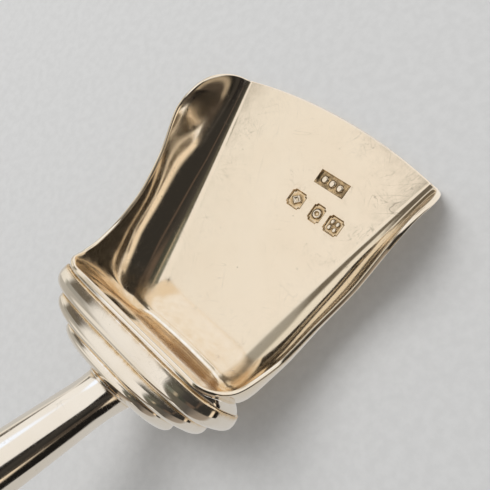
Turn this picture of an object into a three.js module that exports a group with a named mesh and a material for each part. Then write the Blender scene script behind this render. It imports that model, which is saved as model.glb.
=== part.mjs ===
// Caddy spoon of sheet silver: a shovel bowl, a hollow stepped shoulder behind it and a hollow tapered
// handle with a domed end. Millimetres. X runs forward to the lip, Y to the left and Z up. The spoon
// stands on the flat underside of its bowl, and the origin is the middle of that face.
import * as THREE from 'three';

// Sheet thicknesses, and the joint that solder fills between two pieces.
const floorSheet = 0.75;
const rimSheet = 0.5;
const shoulderSheet = 0.4;
const handleSheet = 0.3;
const endCapSheet = 0.3;
const solderGap = 0.3;

// Flat floor of the bowl: a trapezium with a bowed lip, and the cut that rounds each corner of the lip.
const floorLength = 29.5;
const floorBackHalf = 5.7;
const floorFrontHalf = 13;
const foldCorner = 0.8;
const lipBow = 1.35;
const lipCornerLength = 3.2;
const lipCornerHeight = 2.5;
const lipCornerPower = 2.2;

// Rim of the bowl, inside the sheet: how far it stands from the back fold, its half width, and its height
// above the inside of the floor. It runs level across the back, drops round the corner and dips to a
// waist, then rises over the flare and falls to the lip. The wall ends steeper there (degrees) than the
// straight line from its fold.
const backRimPlace = 0.6;
const backRimHalf = 10;
const backRimHeight = 11.7;
const cornerLength = 2.4;
const cornerWidth = 2.6;
const cornerHeight = 7.5;
const waistPlace = 10.6;
const waistHalf = 13.6;
const waistHeight = 4.9;
const flarePlace = 21.2;
const flareHalf = 15.3;
const flareHeight = 6.1;
const lipFlare = 2.6;
const lipRimHeight = 2.5;
const nearWaistRise = 0.25;
const nearLipRise = 1.3;
const lipSteepening = 4;

// Stepped shoulder: three rolls behind the bowl. Its mouth is a little wider than the bowl's corners.
const mouthOverhang = 0.2;
const mouthLift = 0.1;
const widestDrop = 3.8;
const firstRollLength = 2.55;
const secondRollLength = 1.85;
const lastRollLength = 1.3;
const rollBulge = 0.4;
const firstStepIn = 1.85;
const secondStepIn = 2.95;
const stepDown = 0.2;
const shoulderLean = 0.2;
const mouthBow = 0.3;

// Flat face at the shoulder's back: its height, its tilt, and how far it stands out round the handle.
const faceDrop = 4.4;
const faceLean = 0.36;
const faceSideMargin = 2.45;
const faceTopMargin = 0.35;

// Handle: a tapered tube rising backward from the middle of that face, and a dome over its end.
const handleLength = 40;
const handleRise = 42;
const handleRootRadius = 2.55;
const handleEndRadius = 3.85;
const rootFlare = 0.4;
const rootFlareLength = 4;
const endCapLength = 2.6;
const spigotLength = 1.6;

// Number of faces along and round each piece, and the point where the faces of the flat floor meet.
const floorHub = 0.6 * floorLength;
const ribSteps = 4;
const lipCornerSteps = 5;
const wallRows = 9;
const lipArcSteps = 12;
const ringSteps = 52;
const rollSteps = 5;
const handleSides = 40;
const handleRings = 8;
const domeSteps = 6;

const degrees = Math.PI / 180;
const curveTension = 0.4;
const normalStep = 0.01;
const silver = { metalness: 1, roughness: 0.12 };
const mix = THREE.MathUtils.lerp;

function vec(x, y, z) {
  return new THREE.Vector3(x, y, z);
}

function mirrored(point) {
  return vec(point.x, -point.y, point.z);
}

// A closed body gathered face by face.
class Body {
  constructor() {
    this.points = [];
    this.faces = [];
  }
  add(point) {
    this.points.push(point.x, point.y, point.z);
    return this.points.length / 3 - 1;
  }
  addGrid(grid) {
    return grid.map((row) => row.map((point) => this.add(point)));
  }
  quad(a, b, c, d) {
    this.faces.push(a, b, c, a, c, d);
  }
  // Faces over a grid of point numbers. Rows run first, and a turned grid faces the other way.
  skin(grid, { turned = false, closed = false } = {}) {
    for (let i = 0; i + 1 < grid.length; i += 1) {
      const size = grid[i].length;
      for (let j = 0; j < (closed ? size : size - 1); j += 1) {
        const next = (j + 1) % size;
        const corners = [grid[i][j], grid[i + 1][j], grid[i + 1][next], grid[i][next]];
        this.quad(...(turned ? corners.reverse() : corners));
      }
    }
  }
  mesh(name, colour) {
    const geometry = new THREE.BufferGeometry();
    geometry.setAttribute('position', new THREE.Float32BufferAttribute(this.points, 3));
    geometry.setIndex(this.faces);
    geometry.computeVertexNormals();
    const mesh = new THREE.Mesh(geometry, new THREE.MeshStandardMaterial({ color: colour, ...silver }));
    mesh.name = name;
    return mesh;
  }
}

// The inside of a sheet rolled from closed rings: each point pushed inward, square to the sheet.
function offsetRings(rings, distance) {
  return rings.map((ring, i) => ring.map((point, j) => {
    const before = rings[Math.max(i - 1, 0)][j];
    const after = rings[Math.min(i + 1, rings.length - 1)][j];
    const low = ring[(j + ring.length - 1) % ring.length];
    const high = ring[(j + 1) % ring.length];
    const normal = after.clone().sub(before).cross(high.clone().sub(low)).normalize();
    return point.clone().addScaledVector(normal, -distance);
  }));
}

// Bowl. Each rib runs from the fold of the floor to the rim. A station gives a rib's two ends, the way it
// leaves the floor (turn, degrees from forward), the way it arrives at the rim (lean, degrees from level)
// and how far it holds to each of them (shares of its chord).
const cornerPlace = backRimPlace + cornerLength;
const cornerHalf = backRimHalf + cornerWidth;
const lipRimHalf = floorFrontHalf + lipFlare;
const lipRimPlace = lipAt(lipRimHalf);
const nearLipPlace = mix(flarePlace, lipRimPlace, 0.5);
const stations = [
  { rim: [backRimPlace, 0, backRimHeight], fold: [0, 0], turn: 180, lean: 98, hold: [0.27, 0.6] },
  {
    rim: [backRimPlace, mix(0, backRimHalf, 0.76), backRimHeight],
    fold: [0, mix(0, floorBackHalf - foldCorner, 0.76)],
    turn: 178, lean: 98, hold: [0.27, 0.59],
  },
  {
    rim: [backRimPlace, backRimHalf, backRimHeight],
    fold: [0, floorBackHalf - foldCorner],
    turn: 172, lean: 97, hold: [0.28, 0.55],
  },
  {
    rim: cornerRim(0.14, 0.55, 0.2),
    fold: [mix(0, foldCorner, 0.3), mix(floorBackHalf, floorBackHalf - foldCorner, 0.3)],
    turn: 145, lean: 96, hold: [0.4, 0.5],
  },
  {
    rim: cornerRim(0.42, 0.85, 0.65),
    fold: [foldCorner, floorBackHalf],
    turn: 128, lean: 94, hold: [0.49, 0.45],
  },
  { ...side(cornerPlace, cornerHalf, cornerHeight, 92, [0.49, 0.4]), turn: 106 },
  side(mix(cornerPlace, waistPlace, 0.42), mix(cornerHalf, waistHalf, 0.55),
    mix(cornerHeight, waistHeight, 0.75) + nearWaistRise, 89, [0.44, 0.38]),
  side(waistPlace, waistHalf, waistHeight, 83, [0.43, 0.34]),
  side(mix(waistPlace, flarePlace, 0.5), mix(waistHalf, flareHalf, 0.55), waistHeight, 72, [0.4, 0.32]),
  side(flarePlace, flareHalf, flareHeight, 64, [0.38, 0.32]),
  side(nearLipPlace, mix(flareHalf, lipRimHalf, 0.5), mix(flareHeight, lipRimHeight, 0.6) + nearLipRise,
    62, [0.36, 0.34]),
  {
    rim: [lipRimPlace, lipRimHalf, lipRimHeight],
    fold: [floorLength, floorFrontHalf],
    turn: Math.atan2(lipFlare, lipRimPlace - floorLength) / degrees,
    lean: Math.atan2(lipRimHeight, lipFlare) / degrees + lipSteepening,
    hold: [0.36, 0.36],
  },
];

// A rim point on the way round the back corner, by its shares of the way forward, outward and down.
function cornerRim(forward, outward, down) {
  return [mix(backRimPlace, cornerPlace, forward), mix(backRimHalf, cornerHalf, outward),
    mix(backRimHeight, cornerHeight, down)];
}

// Half width of the floor at a distance from its back fold.
function floorHalf(x) {
  return floorBackHalf + (floorFrontHalf - floorBackHalf) * x / floorLength;
}

// The lip is an arc: how far forward it stands at a distance from the middle.
function lipAt(y) {
  return floorLength + lipBow * (1 - (y / floorFrontHalf) ** 2);
}

function side(x, half, height, lean, hold) {
  return { rim: [x, half, height], fold: [x, floorHalf(x)], turn: 90, lean, hold };
}

function through(points) {
  return new THREE.CatmullRomCurve3(points, false, 'catmullrom', curveTension);
}

const rimCurve = through(stations.map((s) => vec(...s.rim)));
const foldCurve = through(stations.map((s) => vec(...s.fold, s.turn)));
const holdCurve = through(stations.map((s) => vec(...s.hold, s.lean)));
const lastStation = stations.length - 1;

function wallPoint(station, share) {
  const s = station / lastStation;
  const rim = rimCurve.getPoint(s);
  const foldTurn = foldCurve.getPoint(s);
  const { x: foldHold, y: rimHold, z: lean } = holdCurve.getPoint(s);
  const fold = vec(foldTurn.x, foldTurn.y, 0);
  const out = vec(Math.cos(foldTurn.z * degrees), Math.sin(foldTurn.z * degrees), 0);
  const arrival = out.clone().multiplyScalar(Math.cos(lean * degrees)).setZ(Math.sin(lean * degrees));
  const chord = rim.distanceTo(fold);
  const leave = fold.clone().addScaledVector(out, foldHold * chord);
  const arrive = rim.clone().addScaledVector(arrival, -rimHold * chord);
  return new THREE.CubicBezierCurve3(fold, leave, arrive, rim).getPoint(share);
}

// Direction square to the wall, pointing into the bowl.
function wallNormal(station, share) {
  const low = Math.max(station - normalStep, 0);
  const high = Math.min(station + normalStep, lastStation);
  const along = wallPoint(high, share).sub(wallPoint(low, share));
  const up = wallPoint(station, share + normalStep).sub(wallPoint(station, share - normalStep));
  const normal = along.cross(up);
  if (station === 0) normal.setY(0);
  return normal.normalize();
}

function makeBowl() {
  // Ribs from the middle of the back to the lip: plain ones, then those that end on the rounded corner.
  const cornerStart = lastStation - lipCornerLength / (floorLength - nearLipPlace);
  const places = [];
  const plainSteps = Math.round(cornerStart * ribSteps);
  for (let i = 0; i <= plainSteps; i += 1) {
    places.push({ station: cornerStart * i / plainSteps, top: 1 });
  }
  const cut = lipCornerHeight / Math.hypot(lipFlare, lipRimHeight);
  for (let i = 1; i <= lipCornerSteps; i += 1) {
    const angle = i / lipCornerSteps * Math.PI / 2;
    const station = cornerStart + (lastStation - cornerStart) * Math.sin(angle) ** (2 / lipCornerPower);
    places.push({ station, top: 1 - cut * (1 - Math.cos(angle) ** (2 / lipCornerPower)) });
  }
  const inner = [];
  const outer = [];
  places.forEach(({ station, top }, i) => {
    const innerRib = [];
    const outerRib = [];
    for (let j = 0; j <= wallRows; j += 1) {
      const share = top * j / wallRows;
      const point = wallPoint(station, share).add(vec(0, 0, floorSheet));
      const sheet = mix(floorSheet, rimSheet, share);
      innerRib.push(point);
      outerRib.push(point.clone().addScaledVector(wallNormal(station, share), -sheet));
    }
    outerRib[0].set(innerRib[0].x, innerRib[0].y, 0);
    inner.push(innerRib);
    outer.push(outerRib);
    if (i > 0) {
      inner.unshift(innerRib.map(mirrored));
      outer.unshift(outerRib.map(mirrored));
    }
  });

  const lip = [];
  for (let k = 1; k < lipArcSteps; k += 1) {
    const y = floorFrontHalf * (1 - 2 * k / lipArcSteps);
    lip.push(vec(lipAt(y), y, floorSheet));
  }

  const body = new Body();
  const innerIds = body.addGrid(inner);
  const outerIds = body.addGrid(outer);
  const lipInner = lip.map((p) => body.add(p));
  const lipOuter = lip.map((p) => body.add(vec(p.x, p.y, 0)));
  body.skin(innerIds);
  body.skin(outerIds, { turned: true });
  const last = innerIds.length - 1;
  body.skin(innerIds.map((rib, i) => [rib[wallRows], outerIds[i][wallRows]]));
  body.skin([innerIds[last], outerIds[last]]);
  body.skin([innerIds[0], outerIds[0]], { turned: true });

  // Flat floor, inside and underside, and the thin edge of the lip.
  const lipTop = [innerIds[last][0], ...lipInner, innerIds[0][0]];
  const lipUnder = [outerIds[last][0], ...lipOuter, outerIds[0][0]];
  body.skin(lipTop.map((id, k) => [id, lipUnder[k]]));
  const topIds = [...innerIds.map((rib) => rib[0]), ...lipInner];
  const underIds = [...outerIds.map((rib) => rib[0]), ...lipOuter];
  const topHub = body.add(vec(floorHub, 0, floorSheet));
  const underHub = body.add(vec(floorHub, 0, 0));
  for (let k = 0; k < topIds.length; k += 1) {
    const next = (k + 1) % topIds.length;
    body.faces.push(topHub, topIds[next], topIds[k]);
    body.faces.push(underHub, underIds[k], underIds[next]);
  }
  return body.mesh('bowl', 0xd9cdb8);
}

// Shoulder. A ring is a rounded D seen from behind: flat across its top and fuller below.
const shoulderTop = floorSheet + backRimHeight;
const mouthHalf = cornerHalf + mouthOverhang;
const faceMiddle = shoulderTop - faceDrop;
const rootRadius = handleRootRadius + rootFlare;
const firstGroove = solderGap + firstRollLength;
const secondGroove = firstGroove + secondRollLength;
const faceSet = secondGroove + lastRollLength;
const faceBottom = faceMiddle - rootRadius - faceTopMargin;

function shoulderRing({ set, half, top, bottom, widest, topPower, power, lean, bow }) {
  const ring = [];
  for (let k = 0; k < ringSteps; k += 1) {
    const angle = k / ringSteps * 2 * Math.PI;
    const c = Math.cos(angle);
    const s = Math.sin(angle);
    const rise = s > 0 ? top - widest : widest - bottom;
    const round = 2 / (s > 0 ? topPower : power);
    const y = half * Math.sign(c) * Math.abs(c) ** round;
    const z = widest + rise * Math.sign(s) * Math.abs(s) ** round;
    ring.push(vec(-set + lean * (z - shoulderTop) + bow * (y / half) ** 4, y, z));
  }
  return ring;
}

// The mouth, the two grooves and the back face. The rolls lie between them.
const shoulderSteps = [
  {
    set: solderGap, half: mouthHalf, top: shoulderTop, bottom: mouthLift, widest: shoulderTop - widestDrop,
    topPower: 3.6, power: 3.1, lean: shoulderLean, bow: mouthBow,
  },
  {
    set: firstGroove, half: mouthHalf - firstStepIn, top: shoulderTop - stepDown,
    bottom: mix(mouthLift, faceBottom, 0.43), widest: shoulderTop - widestDrop,
    topPower: 4, power: 3.1, lean: shoulderLean, bow: mouthBow,
  },
  {
    set: secondGroove, half: mouthHalf - firstStepIn - secondStepIn, top: shoulderTop - stepDown,
    bottom: mix(mouthLift, faceBottom, 0.87), widest: faceMiddle,
    topPower: 3.8, power: 2.8, lean: mix(shoulderLean, faceLean, 0.5), bow: mouthBow,
  },
  {
    set: faceSet, half: rootRadius + faceSideMargin, top: faceMiddle + rootRadius + faceTopMargin,
    bottom: faceBottom, widest: faceMiddle,
    topPower: 2.8, power: 2.6, lean: faceLean, bow: 0,
  },
];

function blend(a, b, share) {
  const between = {};
  for (const key of Object.keys(a)) between[key] = mix(a[key], b[key], share[key] ?? share.rest);
  return between;
}

// Each roll leaves its groove level, swells, and turns in to the next groove as a quarter round.
function rollRings(from, to, skipFirst) {
  const rings = [];
  for (let i = skipFirst ? 1 : 0; i <= rollSteps; i += 1) {
    const angle = i / rollSteps * Math.PI / 2;
    const back = Math.sin(angle);
    const turnIn = 1 - Math.cos(angle);
    const ring = blend(from, to, { set: back, lean: back, power: back, topPower: back, rest: turnIn });
    const swell = rollBulge * Math.sin(2 * angle);
    ring.half += swell;
    ring.top += swell;
    ring.bottom -= Math.min(swell, ring.bottom - mouthLift);
    rings.push(shoulderRing(ring));
  }
  return rings;
}

function makeShoulder() {
  const outer = [
    ...rollRings(shoulderSteps[0], shoulderSteps[1], false),
    ...rollRings(shoulderSteps[1], shoulderSteps[2], true),
    ...rollRings(shoulderSteps[2], shoulderSteps[3], true),
  ];
  const inner = offsetRings(outer, shoulderSheet);
  const lean = Math.hypot(1, faceLean);
  const last = outer.length - 1;
  inner[last] = outer[last].map((p) => {
    const middle = vec(0, 0, faceMiddle);
    const inward = vec(0, p.y, p.z).sub(middle).setLength(shoulderSheet);
    return p.clone().sub(inward).add(vec(shoulderSheet * lean - faceLean * inward.z, 0, 0));
  });
  const body = new Body();
  const outerIds = body.addGrid(outer);
  const innerIds = body.addGrid(inner);
  body.skin(outerIds, { closed: true });
  body.skin(innerIds, { closed: true, turned: true });
  body.skin([innerIds[0], outerIds[0]], { closed: true });
  const centre = faceCentre();
  const outerCentre = body.add(centre);
  const innerCentre = body.add(centre.clone().add(vec(shoulderSheet * lean, 0, 0)));
  for (let k = 0; k < ringSteps; k += 1) {
    const next = (k + 1) % ringSteps;
    body.faces.push(outerIds[last][k], outerCentre, outerIds[last][next]);
    body.faces.push(innerIds[last][next], innerCentre, innerIds[last][k]);
  }
  return body.mesh('stepped_shoulder', 0xcfc5b4);
}

// Middle of the shoulder's flat back face, where the handle's axis starts.
function faceCentre() {
  return vec(-faceSet + faceLean * (faceMiddle - shoulderTop), 0, faceMiddle);
}

// Handle frame: its axis, and the direction square to it that points up.
const axis = vec(-Math.cos(handleRise * degrees), 0, Math.sin(handleRise * degrees));
const upright = vec(Math.sin(handleRise * degrees), 0, Math.cos(handleRise * degrees));

// How far along the axis the tilted back face lies, for a height square to the axis.
function faceAlong(height) {
  const faceUp = vec(faceLean, 0, 1);
  return height * faceUp.dot(axis) / faceUp.dot(upright);
}

function handlePoint(angle, radius, along) {
  return faceCentre()
    .addScaledVector(axis, along)
    .addScaledVector(upright, radius * Math.sin(angle))
    .add(vec(0, radius * Math.cos(angle), 0));
}

// The tube grows evenly towards its end, and flares a little where it meets the shoulder.
function handleRadius(along) {
  const flare = rootFlare * Math.max(0, 1 - along / rootFlareLength) ** 2;
  return mix(handleRootRadius, handleEndRadius, along / handleLength) + flare;
}

function handleSkin(inset) {
  const rings = [];
  const rootGap = solderGap / Math.cos(Math.atan(faceAlong(1)));
  for (let i = 0; i <= handleRings; i += 1) {
    const share = (i / handleRings) ** 2;
    const ring = [];
    for (let k = 0; k < handleSides; k += 1) {
      const angle = k / handleSides * 2 * Math.PI;
      const start = faceAlong((rootRadius - inset) * Math.sin(angle)) + rootGap;
      const along = mix(start, handleLength, share);
      ring.push(handlePoint(angle, handleRadius(Math.max(along, 0)) - inset, along));
    }
    rings.push(ring);
  }
  return rings;
}

function makeHandle() {
  const body = new Body();
  const outer = body.addGrid(handleSkin(0));
  const inner = body.addGrid(handleSkin(handleSheet));
  body.skin(outer, { closed: true });
  body.skin(inner, { closed: true, turned: true });
  body.skin([inner[0], outer[0]], { closed: true });
  body.skin([outer[handleRings], inner[handleRings]], { closed: true });
  return body.mesh('handle_tube', 0xd6cbb9);
}

// End cap: a shallow dome over the end of the tube, with a spigot that fits into its bore.
function makeEndCap() {
  const outside = handleEndRadius;
  const spigot = handleEndRadius - handleSheet - solderGap;
  const bore = spigot - endCapSheet;
  const seat = handleLength + solderGap;
  const profile = [
    [bore, handleLength - spigotLength],
    [spigot, handleLength - spigotLength],
    [spigot, seat],
  ];
  for (let i = 0; i < domeSteps; i += 1) {
    const angle = i / domeSteps * Math.PI / 2;
    profile.push([outside * Math.cos(angle), seat + endCapLength * Math.sin(angle)]);
  }
  const hollow = [];
  for (let i = 0; i < domeSteps; i += 1) {
    const angle = i / domeSteps * Math.PI / 2;
    hollow.unshift([bore * Math.cos(angle), seat + (endCapLength - endCapSheet) * Math.sin(angle)]);
  }
  const ringOf = ([radius, along]) => {
    const ring = [];
    for (let k = 0; k < handleSides; k += 1) {
      ring.push(handlePoint(k / handleSides * 2 * Math.PI, radius, along));
    }
    return ring;
  };
  const body = new Body();
  const outer = body.addGrid(profile.map(ringOf));
  const inner = body.addGrid(hollow.map(ringOf));
  body.skin(outer, { closed: true });
  body.skin(inner, { closed: true });
  body.skin([inner[inner.length - 1], outer[0]], { closed: true });
  const tip = body.add(handlePoint(0, 0, seat + endCapLength));
  const hollowTip = body.add(handlePoint(0, 0, seat + endCapLength - endCapSheet));
  const lastRing = outer[outer.length - 1];
  for (let k = 0; k < handleSides; k += 1) {
    const next = (k + 1) % handleSides;
    body.faces.push(lastRing[k], tip, lastRing[next]);
    body.faces.push(inner[0][next], hollowTip, inner[0][k]);
  }
  return body.mesh('handle_end_cap', 0xd6cbb9);
}

const spoon = new THREE.Group();
spoon.add(makeBowl(), makeShoulder(), makeHandle(), makeEndCap());
spoon.position.x = -floorLength / 2;

export default spoon;
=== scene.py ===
# %% [markdown]
# # A silver tea caddy spoon
# The spoon has a flat shovel bowl, a stepped hollow shoulder behind it and a hollow tapered handle. Each was
# raised from thin silver, and the pieces were soldered together. This script then makes finer pieces in the
# same places, gives them a worn polish, and sets up the light and the camera.

# %% Load the measured solids
import math

import bpy
import numpy as np
from mathutils import Matrix, Vector, geometry
from mathutils.bvhtree import BVHTree


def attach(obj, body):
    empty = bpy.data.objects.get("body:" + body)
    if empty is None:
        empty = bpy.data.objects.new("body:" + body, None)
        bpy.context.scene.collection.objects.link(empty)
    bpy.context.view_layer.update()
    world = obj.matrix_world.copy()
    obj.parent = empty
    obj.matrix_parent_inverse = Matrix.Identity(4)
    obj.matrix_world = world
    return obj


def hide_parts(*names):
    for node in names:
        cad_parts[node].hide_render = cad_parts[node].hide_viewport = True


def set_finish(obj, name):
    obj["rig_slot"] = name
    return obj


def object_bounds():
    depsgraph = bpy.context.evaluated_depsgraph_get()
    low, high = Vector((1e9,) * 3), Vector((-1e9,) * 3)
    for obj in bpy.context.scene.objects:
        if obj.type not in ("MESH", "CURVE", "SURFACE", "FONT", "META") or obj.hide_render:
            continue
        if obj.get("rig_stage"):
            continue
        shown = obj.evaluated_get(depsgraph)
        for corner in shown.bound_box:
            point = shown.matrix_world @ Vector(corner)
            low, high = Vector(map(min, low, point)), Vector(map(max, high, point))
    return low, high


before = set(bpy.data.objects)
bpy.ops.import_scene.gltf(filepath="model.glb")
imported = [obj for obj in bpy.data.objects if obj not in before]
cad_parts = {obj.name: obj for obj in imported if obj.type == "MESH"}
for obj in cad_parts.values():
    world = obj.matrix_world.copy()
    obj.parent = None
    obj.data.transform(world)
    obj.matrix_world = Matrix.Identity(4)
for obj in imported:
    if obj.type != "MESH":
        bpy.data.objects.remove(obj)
solids_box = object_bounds()
MM = 0.001
print("solids:", sorted(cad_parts))

# %% [markdown]
# ## Sizes
# These are the sizes of the solids, in millimetres. They are measured from the back fold of the bowl's floor,
# with X forward to the lip, Y to the left and Z up. The pieces are drawn in these numbers. They are moved and
# scaled to the frame in one place, when a mesh is made.

# %% Sizes of the spoon
FLOOR_SHEET, RIM_SHEET, SHOULDER_SHEET, HANDLE_SHEET = 0.75, 0.5, 0.4, 0.3
FLOOR_LENGTH, FLOOR_BACK_HALF, FLOOR_FRONT_HALF, FOLD_CORNER = 29.5, 5.7, 13.0, 0.8
LIP_BOW, LIP_FLARE, LIP_RIM_HEIGHT, LIP_STEEPENING = 1.35, 2.6, 2.5, 4.0
LIP_CORNER_LENGTH, LIP_CORNER_HEIGHT, LIP_CORNER_POWER = 3.2, 2.5, 2.2
NEAR_WAIST_LIFT, NEAR_LIP_LIFT = 0.25, 1.3
EDGE_RADIUS = 0.17


def mix(a, b, share):
    return a + (b - a) * share


def lip_at(y):
    """How far forward the lip stands, at a distance from the middle."""
    return FLOOR_LENGTH + LIP_BOW * (1 - (y / FLOOR_FRONT_HALF) ** 2)


def rim_between(start, stop, forward, outward, upward, lift=0.0):
    """A rim point on the way from one to another, with its own share of the way in each direction."""
    x, y, z = (mix(a, b, share) for a, b, share in zip(start, stop, (forward, outward, upward)))
    return x, y, z + lift


# %% Points of the rim, from the middle of the back to the lip
BACK_RIM = (0.6, 10.0, 11.7)
CORNER = (3.0, 12.6, 7.5)
WAIST = (10.6, 13.6, 4.9)
FLARE = (21.2, 15.3, 6.1)
LIP_RIM = (lip_at(FLOOR_FRONT_HALF + LIP_FLARE), FLOOR_FRONT_HALF + LIP_FLARE, LIP_RIM_HEIGHT)
NEAR_WAIST = rim_between(CORNER, WAIST, 0.42, 0.55, 0.75, NEAR_WAIST_LIFT)
HIGH_WAIST = rim_between(WAIST, FLARE, 0.5, 0.55, 0.0)
NEAR_LIP = rim_between(FLARE, LIP_RIM, 0.5, 0.5, 0.6, NEAR_LIP_LIFT)
print("inside of the lip:", 2 * LIP_RIM[1], "mm wide, inside of the back:", BACK_RIM[2], "mm high")

# %% [markdown]
# ## The bowl's wall
# The bowl is one sheet, folded up round a flat floor. Sculpting it would leave the edge wavy, and a lattice
# or a subdivision cage would drift from the measured solid. So the wall is a row of ribs. Each rib is one
# curve from the fold of the floor to the rim, and a smooth curve runs through the ends, directions and
# fullness of twelve measured ribs.

# %% Twelve ribs from the middle of the back to the lip
def side_rib(rim, lean, hold):
    """A rib on the side fold of the floor, which starts as far forward as its rim point."""
    fold_half = mix(FLOOR_BACK_HALF, FLOOR_FRONT_HALF, rim[0] / FLOOR_LENGTH)
    return rim, (rim[0], fold_half), 90.0, lean, hold


FLAT_HALF, FLAT_SHARE, CORNER_SHARE = FLOOR_BACK_HALF - FOLD_CORNER, 0.76, 0.3
back_middle = (BACK_RIM[0], 0, BACK_RIM[2])
back_flat = (BACK_RIM[0], FLAT_SHARE * BACK_RIM[1], BACK_RIM[2])
corner_start_fold = (CORNER_SHARE * FOLD_CORNER, FLOOR_BACK_HALF - CORNER_SHARE * FOLD_CORNER)
corner_hold = (0.49, 0.4)
corner_fold = side_rib(CORNER, 92, corner_hold)[1]
lip_turn = math.degrees(math.atan2(LIP_FLARE, LIP_RIM[0] - FLOOR_LENGTH))
lip_lean = math.degrees(math.atan2(LIP_RIM_HEIGHT, LIP_FLARE)) + LIP_STEEPENING
# Each rib: its rim point, its point on the fold, which way it leaves the fold and how steeply it comes to the
# rim, both in degrees, and how strongly its two ends hold the curve.
RIBS = [
    (back_middle, (0, 0), 180, 98, (0.27, 0.6)),
    (back_flat, (0, FLAT_SHARE * FLAT_HALF), 178, 98, (0.27, 0.59)),
    (BACK_RIM, (0, FLAT_HALF), 172, 97, (0.28, 0.55)),
    (rim_between(BACK_RIM, CORNER, 0.14, 0.55, 0.2), corner_start_fold, 145, 96, (0.4, 0.5)),
    (rim_between(BACK_RIM, CORNER, 0.42, 0.85, 0.65), (FOLD_CORNER, FLOOR_BACK_HALF), 128, 94, (0.49, 0.45)),
    (CORNER, corner_fold, 106, 92, corner_hold),
    side_rib(NEAR_WAIST, 89, (0.44, 0.38)),
    side_rib(WAIST, 83, (0.43, 0.34)),
    side_rib(HIGH_WAIST, 72, (0.4, 0.32)),
    side_rib(FLARE, 64, (0.38, 0.32)),
    side_rib(NEAR_LIP, 62, (0.36, 0.34)),
    (LIP_RIM, (FLOOR_LENGTH, FLOOR_FRONT_HALF), lip_turn, lip_lean, (0.36, 0.36)),
]
RIB_TABLE = np.array([(*rim, *fold, turn, *hold, lean) for rim, fold, turn, lean, hold in RIBS], float)
LAST = len(RIBS) - 1
print("ribs:", len(RIBS))

# %% A smooth curve through the ribs, and one rib of it
CURVE_TENSION = 0.4


def between_ribs(place):
    """All nine numbers of a rib, at a place that counts the measured ribs."""
    t = RIB_TABLE
    step = min(int(place), LAST - 1)
    share = place - step
    before = t[step - 1] if step > 0 else 2 * t[0] - t[1]
    after = t[step + 2] if step + 2 <= LAST else 2 * t[LAST] - t[LAST - 1]
    a, b = t[step], t[step + 1]
    leave, arrive = CURVE_TENSION * (b - before), CURVE_TENSION * (after - a)
    cubic = 2 * (a - b) + leave + arrive
    square = 3 * (b - a) - 2 * leave - arrive
    return a + leave * share + square * share**2 + cubic * share**3


def rib_points(place, shares):
    """Points of the wall's inside on one rib, at shares of the way up."""
    rx, ry, rz, fx, fy, turn, fold_hold, rim_hold, lean = between_ribs(place)
    rim, fold = np.array([rx, ry, rz]), np.array([fx, fy, 0.0])
    turn, lean = math.radians(turn), math.radians(lean)
    out = np.array([math.cos(turn), math.sin(turn), 0.0])
    arrival = out * math.cos(lean) + np.array([0, 0, math.sin(lean)])
    chord = np.linalg.norm(rim - fold)
    holds = [fold, fold + out * fold_hold * chord, rim - arrival * rim_hold * chord, rim]
    s = np.asarray(shares, float)[:, None]
    weights = ((1 - s) ** 3, 3 * s * (1 - s) ** 2, 3 * s**2 * (1 - s), s**3)
    return sum(w * h for w, h in zip(weights, holds)) + np.array([0, 0, FLOOR_SHEET])


# %% The two sides of the sheet on one rib
NORMAL_STEP = 0.01


def unit_rows(vectors):
    """Each row of a table of directions, made one long."""
    return vectors / np.linalg.norm(vectors, axis=1)[:, None]


def rib_of_sheet(place, top, rows):
    """Inside and outside points of the sheet, from the fold to a share of the rib."""
    shares = top * np.linspace(0, 1, rows + 1)
    inner = rib_points(place, shares)
    ahead, behind = min(place + NORMAL_STEP, LAST), max(place - NORMAL_STEP, 0)
    along = rib_points(ahead, shares) - rib_points(behind, shares)
    up = rib_points(place, shares + NORMAL_STEP) - rib_points(place, shares - NORMAL_STEP)
    normal = np.cross(along, up)
    if place == 0:
        normal[:, 1] = 0
    outer = inner - unit_rows(normal) * mix(FLOOR_SHEET, RIM_SHEET, shares)[:, None]
    outer[0] = (inner[0][0], inner[0][1], 0)
    return inner, outer


# %% [markdown]
# ## Building a mesh from rows
# The walls of every piece are grids of points, skinned with four-sided faces. The flat floor has marks in it,
# so it is filled with triangles round them instead. A small class collects the points and faces. It also
# keeps a list of the faces that are flat, so that the floor stays flat in its reflections while the wall
# next to it stays smooth.

# %% Which spots lie inside an outline
EDGE_CLEARANCE = 0.8


def pairs_round(loop):
    """Each point of a closed line with the next one."""
    return zip(loop, loop[1:] + loop[:1])


def is_inside(spot, outline):
    """True if the spot lies inside the closed outline, found by counting the edges to its right."""
    x, y = spot
    odd = False
    for (ax, ay), (bx, by) in pairs_round(outline):
        if (ay > y) != (by > y) and x < ax + (bx - ax) * (y - ay) / (by - ay):
            odd = not odd
    return odd


def inner_spots(spots, outline_count, spacing):
    """A grid of spots inside an outline, none of them close to the outline or to a hole."""
    outline = spots[:outline_count]
    xs, ys = [p[0] for p in outline], [p[1] for p in outline]
    edge = np.array([tuple(p) for p in spots])
    closest = EDGE_CLEARANCE * spacing
    grid = []
    for i in range(int((max(xs) - min(xs)) / spacing)):
        for j in range(int((max(ys) - min(ys)) / spacing)):
            spot = (min(xs) + (i + 0.5) * spacing, min(ys) + (j + 0.5 + 0.5 * (i % 2)) * spacing)
            near = np.abs(edge - spot).sum(axis=1).min() < closest
            if not near and is_inside(spot, outline):
                grid.append(spot)
    return grid


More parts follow.
